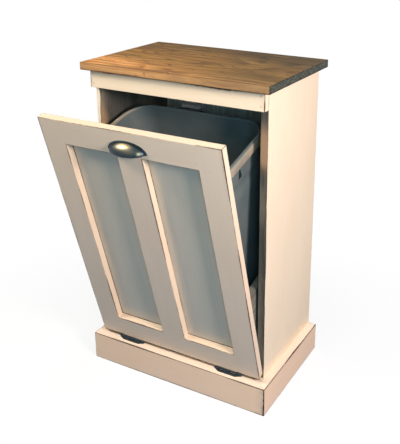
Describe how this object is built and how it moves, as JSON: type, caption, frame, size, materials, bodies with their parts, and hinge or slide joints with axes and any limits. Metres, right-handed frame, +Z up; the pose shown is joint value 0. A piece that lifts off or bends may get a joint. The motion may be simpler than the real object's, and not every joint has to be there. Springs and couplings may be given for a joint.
{
  "type": "tilt-out trash cabinet",
  "caption": "Painted wooden cabinet with a stained top, whose bottom-hinged front tilts out on stops and carries a tray with a plastic trash can.",
  "frame": {"origin": "on the floor, under the middle of the overall box with the door tilted open on its stops", "axes": "+X to the right seen from the front, +Y from the front to the back, +Z up; the door leans out towards -Y"},
  "size_m": [0.519, 0.5138, 0.827],
  "materials": {
    "cream_paint": "cream paint on pine, worn through at the edges",
    "panel_paint": "cream paint on the recessed sheet, in shade",
    "stained_top": "brown stain on knotty pine, satin",
    "bare_pine": "unpainted pine",
    "plywood": "unpainted plywood",
    "dark_bronze": "near-black oil-rubbed bronze",
    "pewter": "aged pewter, dark in the hollows",
    "steel": "plain zinc-plated steel",
    "can_plastic": "grey moulded polythene",
    "catch_plastic": "off-white moulded plastic"
  },
  "bodies": {
    "cabinet": {"side_panel_left": "cream_paint", "side_panel_right": "cream_paint", "back_panel": "plywood", "bottom_shelf": "bare_pine", "front_bottom_rail": "cream_paint", "front_top_rail": "cream_paint", "back_top_rail": "bare_pine", "back_bottom_rail": "bare_pine", "top_board": "stained_top", "top_cleat_left": "bare_pine", "top_cleat_right": "bare_pine", "shelf_cleat_left": "bare_pine", "shelf_cleat_right": "bare_pine", "baseboard_front": "cream_paint", "baseboard_left": "cream_paint", "baseboard_right": "cream_paint", "stop_block_left": "bare_pine", "stop_block_right": "bare_pine", "catch_body": "catch_plastic", "catch_poles": "steel", "hinge_frame_leaf_left": "dark_bronze", "hinge_frame_leaf_right": "dark_bronze", "hinge_pin_left": "dark_bronze", "hinge_pin_right": "dark_bronze", "hinge_frame_screws": "dark_bronze", "top_screws": "steel", "stop_screws": "steel", "catch_screws": "steel", "rail_nails": "steel"},
    "door": {"door_stile_left": "cream_paint", "door_stile_right": "cream_paint", "door_top_rail": "cream_paint", "door_bottom_rail": "cream_paint", "door_mullion": "cream_paint", "door_panel": "panel_paint", "cup_pull": "pewter", "pull_screws": "steel", "strike_plate": "steel", "strike_screws": "steel", "hinge_door_leaf_left": "dark_bronze", "hinge_door_leaf_right": "dark_bronze", "hinge_door_screws": "dark_bronze", "tray_side_left": "bare_pine", "tray_side_right": "bare_pine", "tray_front": "bare_pine", "tray_back": "bare_pine", "tray_bottom": "bare_pine", "tray_screws": "steel", "tray_mount_screws": "steel"},
    "trash_can": {"trash_can": "can_plastic"}
  },
  "joints": [
    {"name": "door_tilt", "type": "hinge", "parent": "cabinet", "child": "door", "pos_m": [0, -0.06008, 0.0805], "axis": [1, 0, 0], "range_deg": [-15.8, 0]},
    {"name": "can_lift", "type": "slide", "parent": "door", "child": "trash_can", "axis": [0, -0.2723, 0.9622], "range_m": [0, 0.08]}
  ]
}
